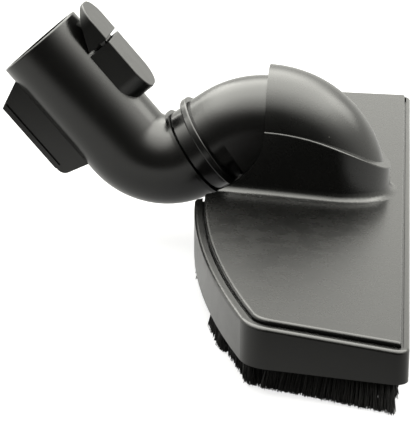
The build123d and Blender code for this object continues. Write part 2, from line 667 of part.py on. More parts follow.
# Neck elbow: the bend, cut flat where it meets the rim of the spigot
with BuildPart() as neck_elbow:
    with BuildSketch(BEND_PLANE):
        Circle(NECK_RADIUS)
    revolve(axis=BEND_AXIS, revolution_arc=NECK_TURN)
    with BuildSketch(BEND_PLANE):
        Circle(NECK_RADIUS - NECK_WALL)
    revolve(axis=BEND_AXIS, revolution_arc=NECK_TURN, mode=Mode.SUBTRACT)
    with BuildSketch(COLLAR_PLANE):
        Circle(NECK_RIM_RADIUS)
    extrude(amount=-NECK_RIM_LENGTH, mode=Mode.SUBTRACT)
neck_elbow.part.label = "neck_elbow"

# Neck socket: the straight run with the wand socket, the ears of the lock and the parking rail
with BuildPart() as neck_socket:
    with BuildSketch(TUBE_PLANE):
        Circle(NECK_RADIUS)
    extrude(amount=TUBE_LENGTH)
    mouth_edge = neck_socket.edges().filter_by(GeomType.CIRCLE).sort_by(Axis.Z)[-1]
    fillet(mouth_edge, MOUTH_ROUNDING)
    with BuildSketch(SIDE_PLANE) as rail_side:
        with BuildLine():
            Polyline(
                (RAIL_START, -NECK_RADIUS + MOUTH_ROUNDING),
                (RAIL_FOOT_START, -NECK_RADIUS - RAIL_HEIGHT),
                (RAIL_FOOT_END, -NECK_RADIUS - RAIL_HEIGHT),
                (RAIL_END, -NECK_RADIUS + MOUTH_ROUNDING),
                close=True,
            )
        make_face()
        rail_foot = rail_side.vertices().group_by(Axis.Y)[0].sort_by(Axis.X)
        fillet(rail_foot[0], RAIL_FRONT_ROUNDING)
        fillet(rail_side.vertices().sort_by(lambda v: v.X - v.Y)[-1], RAIL_REAR_ROUNDING)
    extrude(amount=RAIL_HALF_WIDTH, both=True)
    lip_length = RAIL_FOOT_END - RAIL_FOOT_START - RAIL_LIP_SHORTFALL
    with BuildSketch(SIDE_PLANE):
        with Locations(
            (RAIL_FOOT_START + lip_length / 2, -NECK_RADIUS - RAIL_HEIGHT + RAIL_LIP_THICKNESS / 2)
        ):
            Rectangle(lip_length, RAIL_LIP_THICKNESS)
    extrude(amount=RAIL_HALF_WIDTH + RAIL_LIP, both=True)
    with BuildSketch(SIDE_PLANE):
        with Locations((PIVOT_S, PIVOT_H)):
            Circle(EAR_HALF_LENGTH)
        with Locations((PIVOT_S, (PIVOT_H + NECK_RADIUS - NECK_WALL) / 2)):
            Rectangle(2 * EAR_HALF_LENGTH, PIVOT_H - NECK_RADIUS + NECK_WALL)
    extrude(amount=EAR_OUTER, both=True)
    with BuildSketch(SIDE_PLANE):
        with Locations((PIVOT_S, NECK_RADIUS + LOCK_HEIGHT / 2)):
            Rectangle(EAR_ROOM, LOCK_HEIGHT + SEATED)
        Circle(NECK_RADIUS, mode=Mode.SUBTRACT)
    extrude(amount=EAR_INNER, both=True, mode=Mode.SUBTRACT)
    with BuildSketch(SIDE_PLANE):
        with Locations((PIVOT_S, PIVOT_H)):
            Circle(LOCK_PIN_RADIUS + PRESS)
    extrude(amount=EAR_OUTER + SLIDING, both=True, mode=Mode.SUBTRACT)
    with BuildSketch(TUBE_PLANE):
        Circle(NECK_RADIUS - NECK_WALL)
    extrude(amount=TUBE_LENGTH - SOCKET_DEPTH - STOP_LENGTH, mode=Mode.SUBTRACT)
    with BuildSketch(TUBE_PLANE):
        Circle(SOCKET_RADIUS - STOP_WIDTH)
    extrude(amount=TUBE_LENGTH, mode=Mode.SUBTRACT)
    with BuildSketch(MOUTH_PLANE):
        Circle(SOCKET_RADIUS - SOCKET_NARROWING)
    extrude(amount=SOCKET_DEPTH, mode=Mode.SUBTRACT)
    with BuildSketch(MOUTH_PLANE):
        Circle(SOCKET_RADIUS)
    extrude(amount=SOCKET_GRIP, mode=Mode.SUBTRACT)
    with BuildSketch(DECK_PLANE):
        with Locations((NIB_START - SLIDING + NIB_WINDOW / 2, 0)):
            Rectangle(NIB_WINDOW, 2 * EAR_INNER)
    extrude(amount=LOCK_TOP, mode=Mode.SUBTRACT)
neck_socket.part.label = "neck_socket"

# Lock button: thumb pad, hub, arm and the nib that drops into the wand's hole
PIVOT_POINT = MOUTH_POINT - TUBE_DIR * PIVOT_S + TUBE_TOP * PIVOT_H
PIVOT_AXIS = Axis(PIVOT_POINT, (0, 1, 0))

with BuildPart() as tube_room:
    with BuildSketch(MOUTH_PLANE):
        Circle(NECK_RADIUS + SLIDING)
    extrude(amount=TUBE_LENGTH, both=True)

with BuildPart() as lock_button:
    with BuildSketch(DECK_PLANE) as pad_plan:
        with Locations((PAD_LENGTH / 2, 0)):
            Rectangle(PAD_LENGTH, 2 * LOCK_HALF_WIDTH)
        fillet(pad_plan.vertices().group_by(Axis.X)[0], LOCK_END_RADIUS)
    extrude(amount=LOCK_TOP)
    with BuildSketch(SIDE_PLANE):
        with BuildLine():
            Polyline(
                (0, LOCK_TOP),
                (PAD_LENGTH, LOCK_TOP),
                (PAD_LENGTH, LOCK_TOP - PAD_HEEL_DEPTH),
                (PAD_NOSE_LENGTH, LOCK_TOP - PAD_NOSE_DEPTH),
                (0, LOCK_TOP - LOCK_WALL),
                close=True,
            )
        make_face()
    extrude(amount=LOCK_HALF_WIDTH, both=True, mode=Mode.INTERSECT)
    pad_top = lock_button.faces().sort_by(lambda face: DECK_PLANE.to_local_coords(face.center()).Z)[-1]
    fillet(pad_top.edges(), LOCK_EDGE_RADIUS)
    with BuildSketch(DECK_PLANE):
        with Locations((PIVOT_S, 0)):
            Rectangle(EAR_ROOM, 2 * (EAR_OUTER + SLIDING))
    extrude(amount=LOCK_TOP - LOCK_WALL, mode=Mode.SUBTRACT)
    with BuildSketch(SIDE_PLANE):
        with Locations((PIVOT_S, PIVOT_H)):
            Circle(HUB_RADIUS)
        with Locations(((PAD_LENGTH - 2 * EAR_HALF_LENGTH + NIB_END) / 2, PIVOT_H - ARM_THICKNESS / 2)):
            Rectangle(NIB_END - PAD_LENGTH + 2 * EAR_HALF_LENGTH, ARM_THICKNESS)
    extrude(amount=ARM_HALF_WIDTH, both=True)
    add(tube_room.part, mode=Mode.SUBTRACT)
    add(tube_room.part.rotate(PIVOT_AXIS, LOCK_TRAVEL), mode=Mode.SUBTRACT)
    with BuildSketch(SIDE_PLANE):
        with Locations((NIB_END - NIB_LENGTH / 2, (SOCKET_RADIUS - NIB_REACH + PIVOT_H) / 2)):
            Rectangle(NIB_LENGTH, PIVOT_H - SOCKET_RADIUS + NIB_REACH)
    extrude(amount=ARM_HALF_WIDTH - SLIDING, both=True)
    with BuildSketch(SIDE_PLANE):
        with Locations((PIVOT_S, PIVOT_H)):
            Circle(LOCK_PIN_RADIUS + RUNNING)
    extrude(amount=LOCK_HALF_WIDTH, both=True, mode=Mode.SUBTRACT)
lock_button.part.label = "lock_button"

# Lock cover: the fixed rear half, a hollow cap over the arm
COVER_START = PAD_LENGTH + PAD_GAP
COVER_END = COVER_START + COVER_LENGTH

with BuildPart() as lock_cover:
    with BuildSketch(DECK_PLANE) as cover_plan:
        with Locations(((COVER_START + COVER_END) / 2, 0)):
            Rectangle(COVER_LENGTH, 2 * LOCK_HALF_WIDTH)
        fillet(cover_plan.vertices().group_by(Axis.X)[-1], LOCK_END_RADIUS)
    extrude(amount=LOCK_TOP)
    cover_top = lock_cover.faces().sort_by(lambda face: DECK_PLANE.to_local_coords(face.center()).Z)[-1]
    fillet(cover_top.edges(), LOCK_EDGE_RADIUS)
    with BuildSketch(DECK_PLANE) as cover_room:
        with Locations(((COVER_START - LOCK_WALL + COVER_END - LOCK_WALL) / 2, 0)):
            Rectangle(COVER_LENGTH, 2 * (LOCK_HALF_WIDTH - LOCK_WALL))
        fillet(cover_room.vertices().group_by(Axis.X)[-1], LOCK_END_RADIUS - LOCK_WALL)
    extrude(amount=LOCK_TOP - LOCK_WALL, mode=Mode.SUBTRACT)
    with BuildSketch(MOUTH_PLANE):
        Circle(NECK_RADIUS + SEATED)
    extrude(amount=TUBE_LENGTH, mode=Mode.SUBTRACT)
lock_cover.part.label = "lock_cover"

# Lock pin, held in the ears of the neck
with BuildPart() as lock_pin:
    with BuildSketch(SIDE_PLANE):
        with Locations((PIVOT_S, PIVOT_H)):
            Circle(LOCK_PIN_RADIUS)
    extrude(amount=EAR_OUTER, both=True)
lock_pin.part.label = "lock_pin"

# Lock spring: a bent leaf between the tube and the thumb pad
with BuildPart() as lock_spring:
    leaf_foot = NECK_RADIUS + SEATED
    leaf_middle = leaf_foot + LEAF_THICKNESS
    leaf_tip = leaf_foot + LEAF_RISE
    middle_s = (LEAF_START + LEAF_END) / 2
    with BuildSketch(SIDE_PLANE):
        with BuildLine():
            ThreePointArc((LEAF_END, leaf_foot), (middle_s, leaf_middle), (LEAF_START, leaf_tip))
            Line((LEAF_START, leaf_tip), (LEAF_START, leaf_tip + LEAF_THICKNESS))
            ThreePointArc(
                (LEAF_START, leaf_tip + LEAF_THICKNESS),
                (middle_s, leaf_middle + LEAF_THICKNESS),
                (LEAF_END, leaf_foot + LEAF_THICKNESS),
            )
            Line((LEAF_END, leaf_foot + LEAF_THICKNESS), (LEAF_END, leaf_foot))
        make_face()
    extrude(amount=LEAF_HALF_WIDTH, both=True)
lock_spring.part.label = "lock_spring"

# Bristle strips, and the bars under the sole that carry them
BAR_BOTTOM = SKIRT_HEIGHT - BAR_OVERHANG
FRONT_STRIP_X = FRONT_REACH - FRONT_BRISTLE_INSET - BRISTLE_WIDTH / 2
CORNER_X, CORNER_Y = rear_corner(0)
END_STRIP_FRONT_X = FRONT_REACH - END_STRIP_FRONT_INSET
END_STRIP_REAR_X = CORNER_X + END_STRIP_REAR_INSET
REAR_CORNER_END = CORNER_Y - REAR_CORNER_INSET
REAR_CORNER_SPAN = (REAR_CORNER_END - REAR_CORNER_LENGTH, REAR_CORNER_END)
REAR_OUTER_END = REAR_CORNER_SPAN[0] - REAR_STRIP_GAP
REAR_OUTER_SPAN = (REAR_OUTER_END - REAR_OUTER_LENGTH, REAR_OUTER_END)
REAR_INNER_START = CHAMBER_HALF_WIDTH + NOTCH_FLARE + REAR_INNER_GAP
REAR_INNER_SPAN = (REAR_INNER_START, REAR_INNER_START + REAR_INNER_LENGTH)


def front_strip_plan(margin):
    """Strip along the front edge, between the end strips, grown by margin all round."""
    rear_x = FRONT_STRIP_X - BRISTLE_WIDTH / 2
    reach = end_line_y(rear_x, SIDE_BRISTLE_INSET + BRISTLE_WIDTH + STRIP_GAP)
    with BuildSketch() as plan:
        with Locations((FRONT_STRIP_X, 0)):
            Rectangle(BRISTLE_WIDTH + 2 * margin, 2 * (reach + margin))
    return plan.sketch


def end_strip_plan(side, margin):
    """Strip along a slanted end, grown by margin all round."""
    rear_x = END_STRIP_REAR_X - margin
    front_x = END_STRIP_FRONT_X + margin
    outer = SIDE_BRISTLE_INSET - margin
    inner = SIDE_BRISTLE_INSET + BRISTLE_WIDTH + margin
    with BuildSketch() as plan:
        with BuildLine():
            Polyline(
                (rear_x, side * end_line_y(rear_x, outer)),
                (front_x, side * end_line_y(front_x, outer)),
                (front_x, side * end_line_y(front_x, inner)),
                (rear_x, side * end_line_y(rear_x, inner)),
                close=True,
            )
        make_face()
    return plan.sketch


def rear_strip_plan(span, side, margin):
    """Strip along a span of the bowed rear edge, grown by margin all round."""
    start_y = side * (span[0] - margin)
    end_y = side * (span[1] + margin)
    middle_y = (start_y + end_y) / 2
    outer = SIDE_BRISTLE_INSET - margin
    inner = SIDE_BRISTLE_INSET + BRISTLE_WIDTH + margin
    with BuildSketch() as plan:
        with BuildLine():
            ThreePointArc(*[(rear_line_x(y, outer), y) for y in (start_y, middle_y, end_y)])
            Line((rear_line_x(end_y, outer), end_y), (rear_line_x(end_y, inner), end_y))
            ThreePointArc(*[(rear_line_x(y, inner), y) for y in (end_y, middle_y, start_y)])
            Line((rear_line_x(start_y, inner), start_y), (rear_line_x(start_y, outer), start_y))
        make_face()
    return plan.sketch


def bar(plan):
    """Bar under the sole, with the given plan."""
    with BuildPart() as block:
        with BuildSketch(Plane.XY.offset(BAR_BOTTOM)):
            add(plan)
        extrude(amount=SOLE_BOTTOM - BAR_BOTTOM)
    return block.part


def bristles(plan):
    """Closed block from the floor up to a bar, with the outer shape of the bristles."""
    with BuildPart() as block:
        with BuildSketch(Plane.XY):
            add(plan)
        extrude(amount=BAR_BOTTOM)
    return block.part


with BuildPart() as front_bar:
    add(bar(front_strip_plan(BAR_MARGIN)))
front_bar.part.label = "front_bar"

with BuildPart() as front_bristles:
    add(bristles(front_strip_plan(0)))
front_bristles.part.label = "front_bristles"

with BuildPart() as end_left_bar:
    add(bar(end_strip_plan(LEFT, BAR_MARGIN)))
end_left_bar.part.label = "end_left_bar"

with BuildPart() as end_left_bristles:
    add(bristles(end_strip_plan(LEFT, 0)))
end_left_bristles.part.label = "end_left_bristles"

with BuildPart() as end_right_bar:
    add(bar(end_strip_plan(RIGHT, BAR_MARGIN)))
end_right_bar.part.label = "end_right_bar"

with BuildPart() as end_right_bristles:
    add(bristles(end_strip_plan(RIGHT, 0)))
end_right_bristles.part.label = "end_right_bristles"

with BuildPart() as rear_outer_left_bar:
    add(bar(rear_strip_plan(REAR_OUTER_SPAN, LEFT, BAR_MARGIN)))
rear_outer_left_bar.part.label = "rear_outer_left_bar"

with BuildPart() as rear_outer_left_bristles:
    add(bristles(rear_strip_plan(REAR_OUTER_SPAN, LEFT, 0)))
rear_outer_left_bristles.part.label = "rear_outer_left_bristles"

with BuildPart() as rear_outer_right_bar:
    add(bar(rear_strip_plan(REAR_OUTER_SPAN, RIGHT, BAR_MARGIN)))
rear_outer_right_bar.part.label = "rear_outer_right_bar"

with BuildPart() as rear_outer_right_bristles:
    add(bristles(rear_strip_plan(REAR_OUTER_SPAN, RIGHT, 0)))
rear_outer_right_bristles.part.label = "rear_outer_right_bristles"

with BuildPart() as rear_corner_left_bar:
    add(bar(rear_strip_plan(REAR_CORNER_SPAN, LEFT, BAR_MARGIN)))
rear_corner_left_bar.part.label = "rear_corner_left_bar"

with BuildPart() as rear_corner_left_bristles:
    add(bristles(rear_strip_plan(REAR_CORNER_SPAN, LEFT, 0)))
rear_corner_left_bristles.part.label = "rear_corner_left_bristles"

with BuildPart() as rear_inner_left_bar:
    add(bar(rear_strip_plan(REAR_INNER_SPAN, LEFT, BAR_MARGIN)))
rear_inner_left_bar.part.label = "rear_inner_left_bar"

with BuildPart() as rear_inner_left_bristles:
    add(bristles(rear_strip_plan(REAR_INNER_SPAN, LEFT, 0)))
rear_inner_left_bristles.part.label = "rear_inner_left_bristles"

with BuildPart() as rear_corner_right_bar:
    add(bar(rear_strip_plan(REAR_CORNER_SPAN, RIGHT, BAR_MARGIN)))
rear_corner_right_bar.part.label = "rear_corner_right_bar"

with BuildPart() as rear_corner_right_bristles:
    add(bristles(rear_strip_plan(REAR_CORNER_SPAN, RIGHT, 0)))
rear_corner_right_bristles.part.label = "rear_corner_right_bristles"

with BuildPart() as rear_inner_right_bar:
    add(bar(rear_strip_plan(REAR_INNER_SPAN, RIGHT, BAR_MARGIN)))
rear_inner_right_bar.part.label = "rear_inner_right_bar"

with BuildPart() as rear_inner_right_bristles:
    add(bristles(rear_strip_plan(REAR_INNER_SPAN, RIGHT, 0)))
rear_inner_right_bristles.part.label = "rear_inner_right_bristles"

os.makedirs("parts", exist_ok=True)
export_step(base_shell.part, "parts/base_shell.step")
export_step(top_cover.part, "parts/top_cover.step")
export_step(cover_screws.part, "parts/cover_screws.step")
export_step(hood_seal.part, "parts/hood_seal.step")
export_step(drum_elbow.part, "parts/drum_elbow.step")
export_step(hinge_pin_left.part, "parts/hinge_pin_left.step")
export_step(hinge_pin_right.part, "parts/hinge_pin_right.step")
export_step(tilt_spacer_left.part, "parts/tilt_spacer_left.step")
export_step(tilt_spacer_right.part, "parts/tilt_spacer_right.step")
export_step(collar_ring.part, "parts/collar_ring.step")
export_step(swivel_seal.part, "parts/swivel_seal.step")
export_step(neck_spigot.part, "parts/neck_spigot.step")
export_step(neck_elbow.part, "parts/neck_elbow.step")
export_step(neck_socket.part, "parts/neck_socket.step")
export_step(lock_button.part, "parts/lock_button.step")
export_step(lock_cover.part, "parts/lock_cover.step")
export_step(lock_pin.part, "parts/lock_pin.step")
export_step(lock_spring.part, "parts/lock_spring.step")
export_step(front_bar.part, "parts/front_bar.step")
export_step(front_bristles.part, "parts/front_bristles.step")
export_step(end_left_bar.part, "parts/end_left_bar.step")
export_step(end_left_bristles.part, "parts/end_left_bristles.step")
export_step(end_right_bar.part, "parts/end_right_bar.step")
export_step(end_right_bristles.part, "parts/end_right_bristles.step")
export_step(rear_outer_left_bar.part, "parts/rear_outer_left_bar.step")
export_step(rear_outer_left_bristles.part, "parts/rear_outer_left_bristles.step")
export_step(rear_outer_right_bar.part, "parts/rear_outer_right_bar.step")
export_step(rear_outer_right_bristles.part, "parts/rear_outer_right_bristles.step")
export_step(rear_corner_left_bar.part, "parts/rear_corner_left_bar.step")
export_step(rear_corner_left_bristles.part, "parts/rear_corner_left_bristles.step")
export_step(rear_inner_left_bar.part, "parts/rear_inner_left_bar.step")
export_step(rear_inner_left_bristles.part, "parts/rear_inner_left_bristles.step")
export_step(rear_corner_right_bar.part, "parts/rear_corner_right_bar.step")
export_step(rear_corner_right_bristles.part, "parts/rear_corner_right_bristles.step")
export_step(rear_inner_right_bar.part, "parts/rear_inner_right_bar.step")
export_step(rear_inner_right_bristles.part, "parts/rear_inner_right_bristles.step")
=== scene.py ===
from math import cos, radians, sin

import bpy
from bpy.props import FloatProperty, FloatVectorProperty, IntProperty, PointerProperty
from bpy.types import Operator, Panel, PropertyGroup
from mathutils import Matrix, Vector


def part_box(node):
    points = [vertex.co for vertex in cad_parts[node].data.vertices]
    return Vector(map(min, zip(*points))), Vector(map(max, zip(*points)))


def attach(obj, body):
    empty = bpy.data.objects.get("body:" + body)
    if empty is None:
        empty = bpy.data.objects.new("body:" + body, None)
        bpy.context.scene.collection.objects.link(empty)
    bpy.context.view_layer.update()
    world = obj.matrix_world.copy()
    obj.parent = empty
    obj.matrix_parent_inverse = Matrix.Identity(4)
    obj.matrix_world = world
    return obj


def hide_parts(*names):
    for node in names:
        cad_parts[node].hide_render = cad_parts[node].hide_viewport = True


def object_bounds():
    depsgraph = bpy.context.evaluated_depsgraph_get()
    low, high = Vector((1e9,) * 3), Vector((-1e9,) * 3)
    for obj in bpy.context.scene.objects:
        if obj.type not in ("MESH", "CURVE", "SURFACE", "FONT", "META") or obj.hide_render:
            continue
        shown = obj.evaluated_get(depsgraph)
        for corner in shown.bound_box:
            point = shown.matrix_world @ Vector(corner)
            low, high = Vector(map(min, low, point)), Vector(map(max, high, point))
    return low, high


bl_info = {
    "name": "Floor brush head",
    "version": (1, 0, 0),
    "blender": (4, 5, 0),
    "location": "3D View > Sidebar > Brush head",
    "description": "Finishes, planted bristles and a studio for a floor brush head",
    "category": "Object",
}

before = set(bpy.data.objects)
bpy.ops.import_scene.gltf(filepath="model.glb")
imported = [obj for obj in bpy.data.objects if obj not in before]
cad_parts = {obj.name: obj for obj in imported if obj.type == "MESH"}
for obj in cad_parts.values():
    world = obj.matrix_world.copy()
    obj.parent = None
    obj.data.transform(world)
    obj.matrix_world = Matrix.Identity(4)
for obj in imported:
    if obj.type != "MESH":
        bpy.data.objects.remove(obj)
cad_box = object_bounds()

MILLIMETRE = 0.001
FULL_TURN = 6.283

# Satin mouldings: how much rougher than the satin, and the share of places that hold a speck of dust
SHELL_FINISH = (-0.04, 0.10)
COVER_FINISH = (0.0, 0.22)
DRUM_FINISH = (-0.02, 0.0)
NECK_FINISH = (-0.02, 0.05)
LOCK_FINISH = (0.04, 0.0)

# What all mouldings share: clouds in their tone, rubbed patches in their gloss, and the specks of dust,
# whose edge is a share of their spacing
CLOUD_SIZE = 0.035
CLOUD_DETAIL = 3.0
MOTTLE = 0.12
RUB_SIZE = 0.009
RUB_DETAIL = 4.0
RUB_COARSENESS = 0.6
SCUFF = 0.02
GRAIN_COARSENESS = 0.55
DUST_SPACING = 0.011
DUST_EDGE = (0.012, 0.03)
DUST_GREY = (0.32, 0.32, 0.30, 1.0)

# Other pieces. A surface is its roughness, the size of its grain and the grain's depth
BAR_ROUGHNESS = 0.6
RING_SCUFF = 0.03
RUBBER_SURFACE = (0.7, 0.0004, 0.00002)
NYLON_SURFACE = (0.5, 0.0005, 0.00001)
NYLON_WHITE = (0.55, 0.55, 0.52)
NYLON_MOTTLE = 0.05
STEEL_TARNISHED = (0.42, 0.42, 0.43, 1.0)
STEEL_BRIGHT = (0.62, 0.62, 0.61, 1.0)
STEEL_CLOUD = 0.004
STEEL_DETAIL = 4.0
STEEL_ROUGHNESS = (0.28, 0.42)

# Fibres: how dark and how light they get, their gloss, and the sides, points and taper of one fibre
FIBRE_SHADES = (0.6, 1.9)
FIBRE_ROUGHNESS = (0.42, 0.6)
FIBRE_PATCH = 0.002
FIBRE_SPECULAR = 0.22
FIBRE_SIDES = 3
FIBRE_POINTS = 3
FIBRE_TAPER = 0.2

# A face whose normal rises more than this is the top of a strip's block
TOP_FACE = 0.9

# Bristle strips: how far their fibres lean, in degrees, to the front and to the left, how much more they
# lean to the left at the front end than in the middle, and the share worn off at the rear end
STRIP_WEAR = {
    "front": (6.0, 0.0, 0.0, 0.0),
    "end_left": (-6.0, 15.0, 13.0, 0.14),
    "end_right": (-6.0, -15.0, -13.0, 0.14),
    "rear_outer_left": (-8.0, 1.0, 0.0, 0.0),
    "rear_outer_right": (-8.0, -1.0, 0.0, 0.0),
    "rear_corner_left": (2.0, 6.0, 0.0, 0.12),
    "rear_corner_right": (2.0, -6.0, 0.0, 0.12),
    "rear_inner_left": (-9.0, 0.0, 0.0, 0.0),
    "rear_inner_right": (-9.0, 0.0, 0.0, 0.0),
}

# Studio: the part of a direction over which the tent's open front ends, and over which its roof begins, and
# the stretch over which the floor turns from its painted shade at the front to pale, and its painted glow in
# reflections grows, from front to back
OPENING_SPAN = (-0.9, -0.1)
ROOF_SPAN = (0.36, 0.75)
FLOOR_SPAN = (-0.34, -0.14)
FLOOR_REACH = 6.0
NEAREST_VIEW = 0.05
WHITE = (1.0, 1.0, 1.0, 1.0)


class BrushHeadFinish(PropertyGroup):
    """Colours and surfaces of the mouldings."""

    charcoal: FloatVectorProperty(
        name="Charcoal", description="Colour of the plate, hood, drum and neck", subtype="COLOR",
        default=(0.0075, 0.0075, 0.0069), min=0, max=1,
    )
    ring_black: FloatVectorProperty(
        name="Ring black", description="Colour of the polished swivel ring", subtype="COLOR",
        default=(0.008, 0.008, 0.0076), min=0, max=1,
    )
    fibre_black: FloatVectorProperty(
        name="Fibre black", description="Colour of the bristles, their bars and the seals", subtype="COLOR",
        default=(0.0055, 0.0054, 0.0052), min=0, max=1,
    )
    satin: FloatProperty(
        name="Satin", description="Roughness of the satin mouldings", subtype="FACTOR",
        default=0.27, min=0, max=1,
    )
    index: FloatProperty(
        name="Index", description="Index of refraction of the mouldings", default=1.5, min=1, max=2,
    )
    polish: FloatProperty(
        name="Polish", description="Roughness of the swivel ring", subtype="FACTOR",
        default=0.22, min=0, max=1,
    )
    grain: FloatProperty(
        name="Grain", description="Size of the moulded grain", subtype="DISTANCE", unit="LENGTH",
        default=0.0007, min=0.0001,
    )
    grain_depth: FloatProperty(
        name="Grain depth", description="Depth of the moulded grain", subtype="DISTANCE", unit="LENGTH",
        default=0.00003, min=0,
    )


class BrushHeadBristles(PropertyGroup):
    """Sizes of the planted fibres."""

    density: FloatProperty(
        name="Density", description="Fibres on a square millimetre", default=7.0, min=0.1,
    )
    radius: FloatProperty(
        name="Radius", description="Radius of a fibre at its root", subtype="DISTANCE", unit="LENGTH",
        default=0.00019, min=0.00005,
    )
    root: FloatProperty(
        name="Root", description="Length of a fibre inside its bar", subtype="DISTANCE", unit="LENGTH",
        default=0.0004, min=0,
    )
    clear: FloatProperty(
        name="Clear", description="Height of the longest tips above the floor", subtype="DISTANCE",
        unit="LENGTH", default=0.0003, min=0,
    )
    unevenness: FloatProperty(
        name="Unevenness", description="Share by which fibres are shorter than the longest",
        subtype="FACTOR", default=0.04, min=0, max=1,
    )
    splay: FloatProperty(
        name="Splay", description="Largest lean of a single fibre", subtype="ANGLE", unit="ROTATION",
        default=radians(3.0),
    )
    clump: FloatProperty(
        name="Clump", description="Width of a clump that leans one way", subtype="DISTANCE", unit="LENGTH",
        default=0.0042, min=0.0005,
    )
    clump_lean: FloatProperty(
        name="Clump lean", description="Largest lean of a clump", subtype="ANGLE", unit="ROTATION",
        default=radians(9.0),
    )
    curl: FloatProperty(
        name="Curl", description="Sideways bend at a fibre's tip", subtype="DISTANCE", unit="LENGTH",
        default=0.0006,
    )
    margin: FloatProperty(
        name="Margin", description="Length of a bar beyond its block that is planted too",
        subtype="DISTANCE", unit="LENGTH", default=0.001, min=0,
    )
    spray: FloatProperty(
        name="Spray", description="Lean along the strip at the ends of the end strips", subtype="ANGLE",
        unit="ROTATION", default=radians(7.0),
    )
    seed: IntProperty(name="Seed", description="Seed of the planting", default=7)


class BrushHeadStudio(PropertyGroup):
    """Floor, light and camera."""

    floor_white: FloatVectorProperty(
        name="Floor", description="Colour of the floor", subtype="COLOR", default=(0.86, 0.86, 0.86),
        min=0, max=1,
    )
    # Painted shade: the floor is dark in front of the object, which shows only in reflections and bounced
    # light
    front_floor_painted_shade: FloatVectorProperty(
        name="Painted shade at the floor's front", description="Colour of the floor in front of the object",
        subtype="COLOR", default=(0.08, 0.08, 0.08), min=0, max=1,
    )
    floor_glow: FloatProperty(
        name="Floor glow", description="Strength that the pale floor adds to its colour for the camera",
        default=0.75, min=0, max=1,
    )
    # Painted glow: the pale floor glows in reflections only, growing to the back
    reflected_floor_glow: FloatProperty(
        name="Floor glow in reflections", description="Strength that the pale floor adds to its colour in reflections",
        default=0.3, min=0,
    )
    tent_low: FloatProperty(
        name="Tent, low", description="Strength of the tent's rear wall in reflections", default=1.4, min=0,
    )
    tent_high: FloatProperty(
        name="Tent, high", description="Strength of the tent's roof in reflections", default=9.0, min=0,
    )
    opening: FloatProperty(
        name="Opening", description="Share of that strength at the tent's open front", subtype="FACTOR",
        default=0.08, min=0, max=1,
    )
    tent_fill: FloatProperty(
        name="Tent fill", description="Share of that strength that lights the object", subtype="FACTOR",
        default=0.14, min=0, max=1,
    )
    light_colour: FloatVectorProperty(
        name="Light", description="Colour of the tent and the lamps", subtype="COLOR",
        default=(1.0, 0.995, 0.93), min=0, max=1,
    )
    lamp_power: FloatProperty(
        name="Lamps", description="Power of each lamp behind the object", subtype="POWER", unit="POWER",
        default=2.8, min=0,
    )
    lamp_size: FloatVectorProperty(
        name="Lamp size", description="Width and height of each lamp", size=2, unit="LENGTH",
        default=(0.55, 0.45),
    )
    left_lamp: FloatVectorProperty(
        name="Left lamp", description="Place of the lamp behind on the left", subtype="TRANSLATION",
        unit="LENGTH", default=(-0.62, 0.80, 0.74),
    )
    right_lamp: FloatVectorProperty(
        name="Right lamp", description="Place of the lamp behind on the right", subtype="TRANSLATION",
        unit="LENGTH", default=(0.88, 0.46, 0.78),
    )
    camera_place: FloatVectorProperty(
        name="Camera", description="Place of the camera", subtype="TRANSLATION", unit="LENGTH",
        default=(0.0601, -0.8007, 0.2663),
    )
    camera_yaw: FloatProperty(
        name="Yaw", description="Turn of the camera to the rear", subtype="ANGLE", unit="ROTATION",
        default=radians(6.19),
    )
    camera_pitch: FloatProperty(
        name="Pitch", description="Tilt of the camera to the floor", subtype="ANGLE", unit="ROTATION",
        default=radians(17.47),
    )
    camera_roll: FloatProperty(
        name="Roll", description="Roll of the camera", subtype="ANGLE", unit="ROTATION",
        default=radians(-0.32),
    )
    lens: FloatProperty(
        name="Lens", description="Focal length", subtype="DISTANCE_CAMERA", unit="CAMERA",
        default=149.55, min=1,
    )


class NodeBench:
    """Adds nodes to a tree and links them."""

    def __init__(self, tree):
        self.tree = tree

    def add(self, kind, inputs=None, **settings):
        node = self.tree.nodes.new(kind)
        for name, value in settings.items():
            setattr(node, name, value)
        for key, value in (inputs or {}).items():
            self.feed(node.inputs[key], value)
        return node

    def feed(self, socket, value):
        if isinstance(value, bpy.types.NodeSocket):
            self.tree.links.new(value, socket)
        else:
            socket.default_value = value

    def math(self, operation, first, second):
        return self.add("ShaderNodeMath", {0: first, 1: second}, operation=operation).outputs[0]

    def vector(self, operation, first, second):
        return self.add("ShaderNodeVectorMath", {0: first, 1: second}, operation=operation).outputs[0]

    def scaled(self, vector, factor):
        return self.add("ShaderNodeVectorMath", {0: vector, "Scale": factor}, operation="SCALE").outputs[0]

    def parts(self, vector):
        return self.add("ShaderNodeSeparateXYZ", {0: vector}).outputs

    def joined(self, **parts):
        return self.add("ShaderNodeCombineXYZ", parts).outputs[0]

    def mix(self, share, first, second):
        return self.add("ShaderNodeMix", {0: share, 2: first, 3: second}, data_type="FLOAT").outputs[0]

    def mix_colours(self, share, first, second):
        return self.add("ShaderNodeMix", {0: share, 6: first, 7: second}, data_type="RGBA").outputs[2]

    def noise(self, place, size, detail=2.0, coarseness=0.5):
        """Noise with features of about the given size."""
        inputs = {"Vector": place, "Scale": 1.0 / size, "Detail": detail, "Roughness": coarseness}
        return self.add("ShaderNodeTexNoise", inputs).outputs[0]

    def spread(self, value, low, high, start=0.3, end=0.7):
        """Value from start to end spread to low to high; start and end fit noise if none are given."""
        inputs = {"Value": value, "From Min": start, "From Max": end, "To Min": low, "To Max": high}
        return self.add("ShaderNodeMapRange", inputs).outputs[0]


def shade(colour, factor):
    """The colour made lighter or darker, with full alpha."""
    return tuple(min(1.0, part * factor) for part in colour) + (1.0,)


def opaque(colour):
    """The colour with full alpha."""
    return tuple(colour) + (1.0,)


